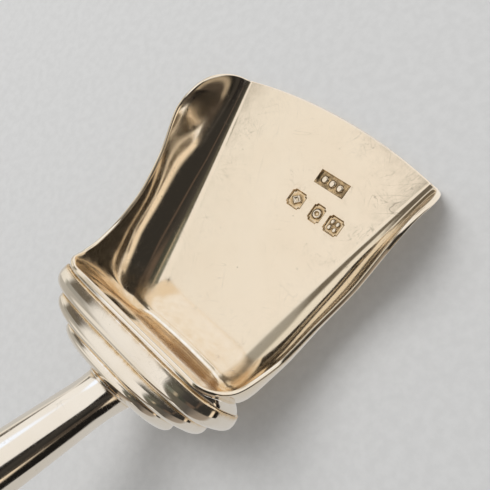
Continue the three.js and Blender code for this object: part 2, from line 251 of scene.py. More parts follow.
# %% A sheet of metal, gathered face by face
class Sheet:
    def __init__(self):
        self.points, self.faces, self.flat, self.tarnish_and_fold_reflection = [], [], set(), []

    def add(self, points, tarnish_and_fold_reflection=0.0):
        """Takes in points, with their film value, which on the bowl's back fold is a painted reflection, and
        returns their numbers.
        """
        first = len(self.points)
        self.points += [tuple(map(float, p)) for p in points]
        self.tarnish_and_fold_reflection += [float(t) for t in np.broadcast_to(tarnish_and_fold_reflection, len(self.points) - first)]
        return list(range(first, len(self.points)))

    def face(self, ids, flat=False):
        if flat:
            self.flat.add(len(self.faces))
        self.faces.append(tuple(ids))

    def skin(self, rows, closed=False, turned=False):
        """Four-sided faces between each row of points and the next."""
        for low, high in zip(rows, rows[1:]):
            count = len(low)
            for j in range(count if closed else count - 1):
                k = (j + 1) % count
                corners = [low[j], high[j], high[k], low[k]]
                self.face(corners[::-1] if turned else corners)

    def tube(self, outer, inner):
        """The outside and the inside of a hollow piece, and the edge between their first rings."""
        self.skin(outer, closed=True)
        self.skin(inner, closed=True, turned=True)
        self.skin([inner[0], outer[0]], closed=True)

    def fan(self, loop, tip, turned=False, flat=False):
        """Triangles from a closed line to one point."""
        tip = self.add([tip])[0]
        for a, b in pairs_round(loop):
            self.face((b, tip, a) if turned else (a, tip, b), flat)

    def fill(self, outline, holes=(), turned=False, spacing=None):
        """Flat faces between an outline and its holes, all in one level."""
        loops = [outline, *holes]
        ids = [i for loop in loops for i in loop]
        level = self.points[ids[0]][2]
        spots = [Vector(self.points[i][:2]) for i in ids]
        if spacing:
            ids += self.add([(*p, level) for p in inner_spots(spots, len(outline), spacing)])
            spots = [Vector(self.points[i][:2]) for i in ids]
        edges, start = [], 0
        for loop in loops:
            edges += [(start + k, start + (k + 1) % len(loop)) for k in range(len(loop))]
            start += len(loop)
        places, _, triangles, origins, *_ = geometry.delaunay_2d_cdt(spots, edges, [], 0, 1e-6)
        rims = [[Vector(self.points[i][:2]) for i in loop] for loop in loops]
        for tri in triangles:
            middle = sum((places[t] for t in tri), Vector((0, 0))) / 3
            if not is_inside(middle, rims[0]) or any(is_inside(middle, rim) for rim in rims[1:]):
                continue
            corners = [ids[origins[t][0]] for t in tri]
            self.face(corners[::-1] if turned else corners, flat=True)

    def piece(self, name, slot, replaced=None):
        """Makes the mesh, in the frame's own place and metres."""
        points = [((x - FLOOR_LENGTH / 2) * MM, y * MM, z * MM) for x, y, z in self.points]
        mesh = bpy.data.meshes.new(name)
        mesh.from_pydata(points, [], self.faces)
        mesh.polygons.foreach_set("use_smooth", [i not in self.flat for i in range(len(self.faces))])
        mesh.attributes.new("tarnish_and_fold_reflection", "FLOAT", "POINT").data.foreach_set("value", self.tarnish_and_fold_reflection)
        mesh.update()
        made = bpy.data.objects.new(name, mesh)
        bpy.context.scene.collection.objects.link(made)
        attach(made, "root")
        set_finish(made, slot)
        if replaced:
            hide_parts(replaced)
        size = [round(1000 * d, 2) for d in made.dimensions]
        print(f"{name}: {len(self.points)} points, {len(self.faces)} faces, {size} mm")
        return made


# %% [markdown]
# ## Struck marks
# Silver like this has a row of small marks struck into it with steel punches. Here they are plain figures
# with no letters: three dots in a row, a lozenge, a ring and four dots. A bump texture would look painted at
# this distance, so each mark is real relief: a sunk cartouche with raised figures on its bottom.

# %% Outlines of the punches
def cut_corner_outline(wide, tall, cut, steps=3):
    """A cartouche: a rectangle whose corners are hollowed out, as points in order."""
    points = []
    for sx, sy, start in ((1, 1, 270), (-1, 1, 0), (-1, -1, 90), (1, -1, 180)):
        for i in range(steps + 1):
            a = math.radians(start - 90 * i / steps)
            points.append((sx * wide / 2 + cut * math.cos(a), sy * tall / 2 + cut * math.sin(a)))
    return points


def round_outline(radius, steps=20):
    angles = [2 * math.pi * i / steps for i in range(steps)]
    return [(radius * math.cos(a), radius * math.sin(a)) for a in angles]


def lozenge_outline(wide, tall, steps=5):
    points = []
    for a, b in pairs_round([(wide / 2, 0), (0, tall / 2), (-wide / 2, 0), (0, -tall / 2)]):
        points += [(mix(a[0], b[0], i / steps), mix(a[1], b[1], i / steps)) for i in range(steps)]
    return points


# %% Profiles of the raised figures, as share of the outline and share of the height
PELLET = ((1.0, 0.0), (0.92, 0.7), (0.82, 0.97), (0.78, 1.0), (0.3, 1.0))
LOZENGE = ((1.0, 0.0), (0.94, 0.7), (0.86, 0.97), (0.82, 1.0), (0.5, 1.0), (0.46, 0.8), (0.2, 0.7))
HOLLOW_RING = (
    (1.0, 0.0), (0.95, 0.7), (0.88, 0.97), (0.85, 1.0),
    (0.6, 1.0), (0.57, 0.97), (0.5, 0.6), (0.42, 0.0),
)

# %% One struck mark
MARK_DEPTH, FIGURE_HEIGHT, FIGURE_FOOT, FOOT_FILM, PLAIN_SHARE = 0.2, 0.15, 1.15, 0.9, 0.8
# Share of the outline, depth under the floor and film, from the edge of a mark down to its bottom.
MARK_WALL = ((1.0, 0.0, 0.1), (0.98, 0.02, 0.7), (0.95, MARK_DEPTH - 0.05, 1.0), (0.9, MARK_DEPTH, 1.0))


def strike(sheet, centre, outline, figures, film):
    """Sinks an outline into the floor and raises the figures on its bottom. Returns the edge's points."""
    cx, cy = centre

    def ring(shape, scale, level, dirt, middle=(0, 0)):
        points = [(cx + middle[0] + x * scale, cy + middle[1] + y * scale, level) for x, y in shape]
        return sheet.add(points, dirt)

    bottom = FLOOR_SHEET - MARK_DEPTH
    wall = [ring(outline, scale, FLOOR_SHEET - depth, dirt) for scale, depth, dirt in MARK_WALL]
    sheet.skin(wall, closed=True)
    holes = []
    for middle, shape, profile in figures:
        raised = [ring(shape, FIGURE_FOOT, bottom, FOOT_FILM, middle)]
        raised += [ring(shape, s, bottom + FIGURE_HEIGHT * h, 1 - h, middle) for s, h in profile]
        sheet.skin(raised, closed=True)
        tip = (cx + middle[0], cy + middle[1], bottom + FIGURE_HEIGHT * profile[-1][1])
        sheet.fan(raised[-1], tip, flat=True)
        holes.append(raised[0])
    plain = ring(outline, PLAIN_SHARE, bottom, film)
    sheet.skin([wall[-1], plain], closed=True)
    sheet.fill(plain, holes)
    return wall[0]


# %% The four marks of this spoon
PELLETS = [((0, y), round_outline(0.42), PELLET) for y in (-1.08, 0, 1.08)]
FOUR_PELLETS = [((x, y), round_outline(0.28), PELLET) for x in (-0.36, 0.36) for y in (-0.36, 0.36)]
ONE_LOZENGE = [((0, 0), lozenge_outline(1.2, 1.35), LOZENGE)]
ONE_RING = [((0, 0), round_outline(0.54, 28), HOLLOW_RING)]
SQUARE, WIDE = cut_corner_outline(2.1, 2.1, 0.28), cut_corner_outline(2.2, 1.65, 0.28)
LONG = cut_corner_outline(1.75, 4.1, 0.01, 2)
THICK_FILM, THIN_FILM = 0.85, 0.35
MARKS = [
    ((23.95, -4.05), LONG, PELLETS, THICK_FILM),
    ((20.35, -1.5), SQUARE, ONE_LOZENGE, THIN_FILM),
    ((20.25, -4.6), WIDE, ONE_RING, THIN_FILM),
    ((20.15, -7.1), SQUARE, FOUR_PELLETS, THIN_FILM),
]
print("marks:", len(MARKS))

# %% [markdown]
# ## The bowl
# The ribs of both sides make one grid, from the lip round the back to the lip again. The corner at the lip is
# rounded, so the last ribs are cut lower and lower. The sheet's free edge is a closed loop, and a rounded
# edge is run along it, because a thin bright line there is what shows the sheet's thickness.

# %% Ribs of both sides
PLAIN_RIBS, CORNER_RIBS, WALL_ROWS = 150, 26, 36
LIP_EDGE_ROOM, REACH_STEPS = 1.25, 12


def quarter_turn(step, steps):
    """The angle at a step of a quarter of a circle."""
    return math.pi / 2 * step / steps


def bowl_ribs():
    corner_start = LAST - LIP_CORNER_LENGTH / (FLOOR_LENGTH - NEAR_LIP[0])
    cut = LIP_CORNER_HEIGHT / math.hypot(LIP_FLARE, LIP_RIM_HEIGHT)
    end = LAST - LIP_EDGE_ROOM * EDGE_RADIUS / (FLOOR_LENGTH - NEAR_LIP[0])
    places = [(corner_start * i / PLAIN_RIBS, 1.0) for i in range(PLAIN_RIBS + 1)]
    for i in range(1, CORNER_RIBS + 1):
        angle = quarter_turn(i, CORNER_RIBS)
        forward, height = (abs(f(angle)) ** (2 / LIP_CORNER_POWER) for f in (math.sin, math.cos))
        places.append((mix(corner_start, end, forward), 1 - cut * (1 - height)))
    half = []
    for place, top in places:
        steps = np.diff(rib_points(place, np.linspace(0, 1, REACH_STEPS)), axis=0)
        reach = np.linalg.norm(steps, axis=1).sum()
        half.append(rib_of_sheet(place, top - EDGE_RADIUS / reach, WALL_ROWS))
    flip = np.array([1, -1, 1])
    return [(a * flip, b * flip) for a, b in half[:0:-1]] + half


# %% The rounded free edge
EDGE_STEPS = 4


def run_round(points, axis=0):
    """Which way a closed line runs at each of its points."""
    return np.roll(points, -1, axis=axis) - np.roll(points, 1, axis=axis)


def round_edge(sheet, inner, outer):
    """Runs a rounded edge along a closed loop, from its inside points to its outside points."""
    inside_line = np.array([sheet.points[i] for i in inner])
    outside_line = np.array([sheet.points[i] for i in outer])
    across = unit_rows(inside_line - outside_line)
    away = unit_rows(np.cross(across, run_round(inside_line)))
    angles = [quarter_turn(i, EDGE_STEPS) for i in range(1, EDGE_STEPS + 1)]
    rows = [inner]
    for a in angles:
        centre = inside_line - across * EDGE_RADIUS
        rows.append(sheet.add(centre + EDGE_RADIUS * (across * math.cos(a) + away * math.sin(a))))
    for a in angles[::-1]:
        centre = outside_line + across * EDGE_RADIUS
        rows.append(sheet.add(centre + EDGE_RADIUS * (away * math.sin(a) - across * math.cos(a))))
    rows.append(outer)
    sheet.skin(rows, closed=True, turned=True)


# %% The film at the back of the bowl, and a painted reflection along its fold
# The back wall's film and the painted reflection along its fold: their strengths, their fall and their reach.
BACK_FILM, FILM_LOST_UPWARD, PAINTED_FOLD_REFLECTION, FOLD_STEEPNESS, START_STEEPNESS = 0.32, 0.18, 0.14, 6, 25
FILM_AND_REFLECTION_FRONT, FILM_AND_REFLECTION_FADE = 3.2, 2.4


def back_film_and_fold_reflection(points):
    """A film inside the back wall that turns it amber, fainter higher up, and a painted reflection: a darker
    amber band along the fold, strongest near the floor.
    """
    up = (points[:, 2] - FLOOR_SHEET) / BACK_RIM[2]
    # Painted reflection: a darker amber band along the back fold, strongest near the floor.
    painted_fold_band = PAINTED_FOLD_REFLECTION * np.clip(1 - FOLD_STEEPNESS * up, 0, 1)
    film = BACK_FILM - FILM_LOST_UPWARD * np.clip(up, 0, 1) + painted_fold_band
    fade = np.clip((FILM_AND_REFLECTION_FRONT - points[:, 0]) / FILM_AND_REFLECTION_FADE, 0, 1)
    return film * fade * np.clip(up * START_STEEPNESS, 0, 1)


# %% The finished bowl
LIP_STEPS, FLOOR_SPACING = 60, 0.9


def make_bowl():
    sheet = Sheet()
    ribs = bowl_ribs()
    inner = [sheet.add(a, back_film_and_fold_reflection(a)) for a, _ in ribs]
    outer = [sheet.add(b) for _, b in ribs]
    sheet.skin(inner)
    sheet.skin(outer, turned=True)
    x, y, _ = ribs[-1][0][0]
    across = [1 - 2 * i / LIP_STEPS for i in range(1, LIP_STEPS)]
    lip_top = sheet.add([(x + LIP_BOW * (1 - k * k), y * k, FLOOR_SHEET) for k in across])
    lip_under = sheet.add([(x + LIP_BOW * (1 - k * k), y * k, 0) for k in across])
    loop_in = inner[0][:-1] + [row[-1] for row in inner] + inner[-1][-2::-1] + lip_top
    loop_out = outer[0][:-1] + [row[-1] for row in outer] + outer[-1][-2::-1] + lip_under
    round_edge(sheet, loop_in, loop_out)
    marks = [strike(sheet, *mark) for mark in MARKS]
    sheet.fill([row[0] for row in inner] + lip_top, marks, spacing=FLOOR_SPACING)
    sheet.fill([row[0] for row in outer] + lip_under, turned=True, spacing=FLOOR_SPACING)
    return sheet


bowl_sheet = make_bowl()
bowl = bowl_sheet.piece("bowl_sheet", "bowl_silver", "bowl")

# %% [markdown]
# ## The stepped shoulder
# Behind the bowl sits a hollow cap of three convex rolls, each smaller than the one before. It is wider than
# it is deep, flat on top and full below, so a turned shape would be wrong. Closed rings are blended from
# one groove to the next instead, and each roll swells between its two grooves.

# %% Sizes of the shoulder and of the handle's root
SOLDER_GAP, ROLL_BULGE, FACE_LEAN, SHOULDER_LEAN = 0.3, 0.4, 0.36, 0.2
MOUTH_LIFT, MOUTH_BOW, MOUTH_HALF = 0.1, 0.3, CORNER[1] + 0.2
SHOULDER_TOP = FLOOR_SHEET + BACK_RIM[2]
GROOVE_TOP, ROLL_WIDEST, FACE_MIDDLE = SHOULDER_TOP - 0.2, SHOULDER_TOP - 3.8, SHOULDER_TOP - 4.4
HANDLE_ROOT, HANDLE_END, ROOT_FLARE, ROOT_FLARE_LENGTH = 2.55, 3.85, 0.4, 4.0
ROOT_RADIUS = HANDLE_ROOT + ROOT_FLARE
FACE_SET, FACE_EDGE, FACE_SIDE = SOLDER_GAP + 5.7, 0.35, 2.45
FACE_TOP, FACE_BOTTOM = FACE_MIDDLE + ROOT_RADIUS + FACE_EDGE, FACE_MIDDLE - ROOT_RADIUS - FACE_EDGE
print("shoulder:", round(2 * MOUTH_HALF, 2), "mm wide at its mouth,", round(SHOULDER_TOP, 2), "mm high")

# %% Four rings: the mouth, two grooves and the back face
RING_KEYS = ("set", "half", "top", "bottom", "widest", "top_power", "power", "lean", "bow")
# On a roll these change early and the others late, which makes the roll round.
EARLY = np.array([key in ("set", "lean", "power", "top_power") for key in RING_KEYS])
STEPS = np.array([
    (SOLDER_GAP, MOUTH_HALF, SHOULDER_TOP, MOUTH_LIFT, ROLL_WIDEST,
     3.6, 3.1, SHOULDER_LEAN, MOUTH_BOW),
    (2.85, MOUTH_HALF - 1.85, GROOVE_TOP, mix(MOUTH_LIFT, FACE_BOTTOM, 0.43), ROLL_WIDEST,
     4, 3.1, SHOULDER_LEAN, MOUTH_BOW),
    (4.7, MOUTH_HALF - 4.8, GROOVE_TOP, mix(MOUTH_LIFT, FACE_BOTTOM, 0.87), FACE_MIDDLE,
     3.8, 2.8, mix(SHOULDER_LEAN, FACE_LEAN, 0.5), MOUTH_BOW),
    (FACE_SET, ROOT_RADIUS + FACE_SIDE, FACE_TOP, FACE_BOTTOM, FACE_MIDDLE,
     2.8, 2.6, FACE_LEAN, 0.0),
])
RING_POINTS, ROLL_RINGS = 192, 14


def angles_round(count):
    """Angles once round, in even steps."""
    return np.arange(count) / count * 2 * np.pi


def shoulder_ring(ring):
    """A closed ring, rounder or squarer by its two powers, that leans back and bows at its sides."""
    set_back, half, top, bottom, widest, top_power, power, lean, bow = ring
    angle = angles_round(RING_POINTS)
    c, s = np.cos(angle), np.sin(angle)
    rise = np.where(s > 0, top - widest, widest - bottom)
    bend = 2 / np.where(s > 0, top_power, power)
    y = half * np.sign(c) * np.abs(c) ** bend
    z = widest + rise * np.sign(s) * np.abs(s) ** bend
    return np.stack([-set_back + lean * (z - SHOULDER_TOP) + bow * (y / half) ** 4, y, z], axis=1)


# %% Rolls between the grooves
def shoulder_rings():
    rings = []
    for n, (start, stop) in enumerate(zip(STEPS, STEPS[1:])):
        for i in range(1 if n else 0, ROLL_RINGS + 1):
            angle = quarter_turn(i, ROLL_RINGS)
            share = np.where(EARLY, math.sin(angle), 1 - math.cos(angle))
            ring = mix(start, stop, share)
            swell = ROLL_BULGE * math.sin(2 * angle)
            ring[1] += swell
            ring[2] += swell
            ring[3] -= min(swell, ring[3] - MOUTH_LIFT)
            rings.append(shoulder_ring(ring))
    return np.array(rings)


def pushed_in(rings, distance):
    """The inside of a closed sheet: each point moved inward, square to the sheet."""
    after = np.concatenate([rings[1:], rings[-1:]])
    before = np.concatenate([rings[:1], rings[:-1]])
    normal = np.cross(after - before, run_round(rings, axis=1))
    length = np.linalg.norm(normal, axis=2, keepdims=True)
    return rings - normal / np.maximum(length, 1e-9) * distance


# %% The finished shoulder
FACE_CENTRE = np.array([-FACE_SET + FACE_LEAN * (FACE_MIDDLE - SHOULDER_TOP), 0, FACE_MIDDLE])
FILM_RINGS, FILM_STEEPER = 3, 1.6


def groove_film(ring):
    """The film on a ring: strongest in the groove, and gone a few rings away from it on both sides."""
    rings_off = min(ring % ROLL_RINGS, FILM_STEEPER * (-ring % ROLL_RINGS))
    return max(0.0, 1 - rings_off / FILM_RINGS) ** 2


def make_shoulder():
    sheet = Sheet()
    rings = shoulder_rings()
    hollow = pushed_in(rings, SHOULDER_SHEET)
    inward_step = np.array([SHOULDER_SHEET, 0, 0])
    hollow[-1] = rings[-1] - unit_rows(rings[-1] - FACE_CENTRE) * SHOULDER_SHEET + inward_step
    outer = [sheet.add(ring, groove_film(i)) for i, ring in enumerate(rings)]
    inner = [sheet.add(ring) for ring in hollow]
    sheet.tube(outer, inner)
    sheet.fan(outer[-1], FACE_CENTRE, flat=True)
    sheet.fan(inner[-1], FACE_CENTRE + inward_step, turned=True, flat=True)
    return sheet, rings


shoulder_sheet, shoulder_skin = make_shoulder()
shoulder = shoulder_sheet.piece("stepped_shoulder_shell", "shoulder_silver", "stepped_shoulder")

# %% [markdown]
# ## The handle and its end cap
# The handle is a hollow tube that grows evenly towards its end, with a small flare at its root. Its root is
# cut to the slope of the shoulder's back face. A cone primitive has no flare and no slanted cut, so the tube
# is made of rings along its axis. A shallow dome closes the far end.

# %% The handle's own directions
HANDLE_LENGTH, HANDLE_RISE, HANDLE_SIDES = 40.0, math.radians(42), 112
AXIS = np.array([-math.cos(HANDLE_RISE), 0, math.sin(HANDLE_RISE)])
UPRIGHT = np.array([math.sin(HANDLE_RISE), 0, math.cos(HANDLE_RISE)])
FACE_UP = np.array([FACE_LEAN, 0, 1])
FACE_SLOPE = FACE_UP @ AXIS / (FACE_UP @ UPRIGHT)
ROOT_GAP = SOLDER_GAP / math.cos(math.atan(FACE_SLOPE))


def handle_ring(radius, along):
    """A ring round the handle's axis. The place along the axis may differ round the ring."""
    angle = angles_round(HANDLE_SIDES)
    radius = np.broadcast_to(radius, angle.shape)[:, None]
    along = np.broadcast_to(along, angle.shape)[:, None]
    sideways = np.stack([np.zeros_like(angle), np.cos(angle), np.zeros_like(angle)], axis=1)
    return FACE_CENTRE + AXIS * along + radius * (UPRIGHT * np.sin(angle)[:, None] + sideways)


def handle_radius(along):
    flare = ROOT_FLARE * np.maximum(0, 1 - along / ROOT_FLARE_LENGTH) ** 2
    return mix(HANDLE_ROOT, HANDLE_END, along / HANDLE_LENGTH) + flare


# %% The handle
HANDLE_RINGS, ROOT_FILM_RINGS = 64, 9


def handle_rings(inset):
    """Rings from the slanted root to the end, closer together near the root."""
    start = FACE_SLOPE * (ROOT_RADIUS - inset) * np.sin(angles_round(HANDLE_SIDES)) + ROOT_GAP
    rings = []
    for i in range(HANDLE_RINGS + 1):
        along = mix(start, HANDLE_LENGTH, (i / HANDLE_RINGS) ** 2)
        rings.append(handle_ring(handle_radius(np.maximum(along, 0)) - inset, along))
    return rings


def make_handle():
    sheet = Sheet()
    films = [max(0.0, 1 - i / ROOT_FILM_RINGS) ** 2 for i in range(HANDLE_RINGS + 1)]
    outer = [sheet.add(ring, film) for ring, film in zip(handle_rings(0), films)]
    inner = [sheet.add(ring) for ring in handle_rings(HANDLE_SHEET)]
    sheet.tube(outer, inner)
    sheet.skin([outer[-1], inner[-1]], closed=True)
    return sheet


handle = make_handle().piece("handle_shell", "handle_silver", "handle_tube")

# %% The end cap
END_CAP_LENGTH, END_CAP_SHEET, SPIGOT_LENGTH, DOME_RINGS = 2.53, 0.3, 1.6, 20


def make_end_cap():
    sheet = Sheet()
    spigot = HANDLE_END - HANDLE_SHEET - SOLDER_GAP
    bore, seat, spigot_end = spigot - END_CAP_SHEET, HANDLE_LENGTH + SOLDER_GAP, HANDLE_LENGTH - SPIGOT_LENGTH
    hollow_length = END_CAP_LENGTH - END_CAP_SHEET
    quarter = [quarter_turn(i, DOME_RINGS) for i in range(DOME_RINGS)]
    profile = [(bore, spigot_end), (spigot, spigot_end), (spigot, seat)]
    profile += [(HANDLE_END * math.cos(a), seat + END_CAP_LENGTH * math.sin(a)) for a in quarter]
    hollow = [(bore * math.cos(a), seat + hollow_length * math.sin(a)) for a in quarter[::-1]]
    outer = [sheet.add(handle_ring(radius, along)) for radius, along in profile]
    inner = [sheet.add(handle_ring(radius, along)) for radius, along in hollow]
    sheet.skin(outer, closed=True)
    sheet.skin(inner, closed=True)
    sheet.skin([inner[-1], outer[0]], closed=True)
    sheet.fan(outer[-1], FACE_CENTRE + AXIS * (seat + END_CAP_LENGTH))
    sheet.fan(inner[0], FACE_CENTRE + AXIS * (seat + hollow_length), turned=True)
    return sheet


end_cap = make_end_cap().piece("end_cap_dome", "cap_silver", "handle_end_cap")

# %% [markdown]
# ## Solder
# The pieces were joined with silver solder, which ran into the narrow gaps between them. It shows as a fine
# line. A boolean union would lose the separate pieces, so each joint gets a thin bead of its own that fills
# the gap and stays just under the surface.

# %% A bead between two closed lines
BEAD_STEPS = 10


def bead(name, slot, low, high, swell):
    """A closed bead whose section spans two lines and swells between them."""
    sheet = Sheet()
    low, high = np.array(low), np.array(high)
    middle, across = (low + high) / 2, (high - low) / 2
    out = unit_rows(np.cross(across, run_round(middle)))
    angles = [2 * math.pi * k / BEAD_STEPS for k in range(BEAD_STEPS)]
    rows = [sheet.add(middle + across * math.cos(a) + out * (swell * math.sin(a))) for a in angles]
    sheet.skin([[row[i] for row in rows] for i in [*range(len(low)), 0]], closed=True)
    return sheet.piece(name, slot)


# %% The three joints
MOUTH_INSET, BOWL_SINK, BEAD_OVERLAP, SEAT_INSET = 0.24, 0.1, 0.05, 0.16
BOWL_SWELL, ROOT_SWELL, CAP_SWELL = 0.16, 0.2, 0.1


def onto_bowl(points, bowl_tree, depth):
    """The nearest spots of the bowl to a line of points, sunk a little into its sheet."""
    found = []
    for point in points:
        spot, normal, _, _ = bowl_tree.find_nearest(Vector(point))
        found.append(spot - normal * depth)
    return found


mouth = shoulder_skin[0]
spokes = mouth - np.array([0, 0, FACE_MIDDLE])
spokes[:, 0] = 0
mouth_line = mouth - unit_rows(spokes) * MOUTH_INSET - np.array([BEAD_OVERLAP, 0, 0])
bowl_tree = BVHTree.FromPolygons(bowl_sheet.points, bowl_sheet.faces)
bowl_line = onto_bowl(mouth_line, bowl_tree, BOWL_SINK)
bowl_bead = bead("bowl_solder", "shoulder_silver", mouth_line, bowl_line, BOWL_SWELL)
root = np.array(handle_rings(BEAD_OVERLAP)[0])
face_line = root - AXIS * (ROOT_GAP + BEAD_OVERLAP)
root_line = root + AXIS * (2 * BEAD_OVERLAP)
root_bead = bead("handle_root_solder", "handle_silver", root_line, face_line, ROOT_SWELL)
seat_low = handle_ring(HANDLE_END - SEAT_INSET, HANDLE_LENGTH - BEAD_OVERLAP)
seat_high = handle_ring(HANDLE_END - SEAT_INSET, HANDLE_LENGTH + SOLDER_GAP + BEAD_OVERLAP)
cap_bead = bead("end_cap_solder", "cap_silver", seat_high, seat_low, CAP_SWELL)

# %% [markdown]
# ## Worn silver
# Old silver is a warm near-white mirror. Years of use and cleaning leave a slight unevenness, hairline
# scratches that run every way, a few pits, and a brown film that polish doesn't reach in the grooves. An
# image of scratches would stretch over the folded bowl, so all of it is made from noise in the spoon's own
# millimetres. The film follows a value that the mesh code wrote on the points in grooves and marks, and on
# the bowl's back wall. Along the back fold that value is a painted reflection: a darker amber band, strongest
# near the floor.

# %% Node helpers
def node(tree, kind, **values):
    made = tree.nodes.new(kind)
    for key, value in values.items():
        setattr(made, key, value)
    return made


def plug_in(tree, plug, value):
    """Links a socket to an input, or writes a plain value on the input itself."""
    if isinstance(value, bpy.types.NodeSocket):
        tree.links.new(value, plug)
    else:
        plug.default_value = value


def feed(tree, target, **sockets):
    """Sets the inputs of a node by their names."""
    for key, value in sockets.items():
        plug_in(tree, target.inputs[key.replace("_", " ")], value)
    return target


def calc(tree, operation, a, b=0.0, clamp=False):
    made = node(tree, "ShaderNodeMath", operation=operation, use_clamp=clamp)
    for plug, value in zip(made.inputs, (a, b)):
        plug_in(tree, plug, value)
    return made.outputs[0]


# %% Smooth steps, noise and mixed colours
def between(tree, value, low, high, to_low=0.0, to_high=1.0):
    """A smooth step of a value from one range to another."""
    made = node(tree, "ShaderNodeMapRange", interpolation_type="SMOOTHSTEP")
    feed(tree, made, Value=value, From_Min=low, From_Max=high, To_Min=to_low, To_Max=to_high)
    return made.outputs[0]


def noise(tree, place, scale, detail=3.0, roughness=0.55):
    made = node(tree, "ShaderNodeTexNoise")
    feed(tree, made, Vector=place, Scale=scale, Detail=detail, Roughness=roughness)
    return made.outputs[0]


def blend_colour(tree, share, low, high):
    """One colour turning into another. Each may be three numbers or a socket."""
    made = node(tree, "ShaderNodeMix", data_type="RGBA")
    for place, value in ((0, share), (6, low), (7, high)):
        plug_in(tree, made.inputs[place], (*value, 1) if isinstance(value, tuple) else value)
    return made.outputs[2]


def object_place(tree):
    """A spot's place on its own object, in metres."""
    return node(tree, "ShaderNodeTexCoord").outputs["Object"]


def new_material(name):
    made = bpy.data.materials.new(name)
    made.use_nodes = True
    return made, made.node_tree


# %% Hairlines and pits
LINE_STRETCH, NO_STRETCH, LINE_TILT, LINE_ROLL = (40.0, 1.0, 1.0), (1, 1, 1), 0.3, 0.2
# Patches that have lines or pits: the scale of their noise, and its values where a patch starts and is full.
LINE_PATCHES, PIT_PATCHES, PIT_EDGE = (0.35, 0.5, 0.66), (0.6, 0.52, 0.62), 2.2


def turned_place(tree, place, angle, stretch):
    made = node(tree, "ShaderNodeMapping", vector_type="TEXTURE")
    feed(tree, made, Vector=place, Rotation=(LINE_TILT * angle, LINE_ROLL, angle), Scale=stretch)
    return made.outputs[0]


def patches(tree, place, scale, low, high):
    """Some places of the metal, and not the others."""
    return between(tree, noise(tree, place, scale), low, high)


def hairlines(tree, place, angle, scale, width):
    """Thin broken lines: where a long drawn out noise passes its middle, kept only in some places."""
    drawn = noise(tree, turned_place(tree, place, angle, LINE_STRETCH), scale, 0.0)
    off = calc(tree, "ABSOLUTE", calc(tree, "SUBTRACT", drawn, 0.5))
    line = between(tree, off, 0.0, width, 1.0, 0.0)
    kept = patches(tree, turned_place(tree, place, angle + 1, NO_STRETCH), *LINE_PATCHES)
    return calc(tree, "MULTIPLY", line, kept)


def pits(tree, place, scale, size):
    spots = node(tree, "ShaderNodeTexVoronoi", feature="F1")
    feed(tree, spots, Vector=place, Scale=scale, Randomness=1.0)
    pit = between(tree, spots.outputs["Distance"], size, PIT_EDGE * size, 1.0, 0.0)
    return calc(tree, "MULTIPLY", pit, patches(tree, place, *PIT_PATCHES))


# %% The silver of one piece
# The amber and brown of the film. On the bowl's back fold the amber is a painted reflection.
AMBER_FILM_AND_REFLECTION, FILM = (0.8, 0.58, 0.33), (0.2, 0.145, 0.085)
# Noise by scale, detail and roughness: clouds in the colour, a fog in the polish and slow waves in the sheet.
CLOUD, FOG, WAVE = (0.13, 4.0), (0.9, 6.0, 0.7), (0.22, 1.0)
# Where each starts and is full, by the value of its noise or of the film on the metal. On the bowl's back
# fold that film value is a painted reflection.
CLOUD_RANGE, FOG_RANGE, AMBER_RANGE, FILM_RANGE = (0.35, 0.7), (0.3, 0.75), (0.0, 0.5), (0.4, 1.0)
FILM_FOG = (0.25, 0.7, 0.35, 1.0)
# Hairlines by direction, scale and width, and pits by scale and size.
LINES, FINE_LINES = ((0.5, 0.8, 0.008), (2.1, 1.0, 0.009)), ((1.2, 2.6, 0.03), (2.8, 3.1, 0.03))
PITS = (0.8, 0.035)
LINE_TINT, PIT_TINT = 0.08, 0.5
FOG_ROUGHNESS, LINE_ROUGHNESS, FILM_ROUGHNESS = 0.07, 0.12, 0.3
LINE_SHARE, PIT_DEPTH, FINE_DEPTH = 0.5, 0.0008, 0.0003


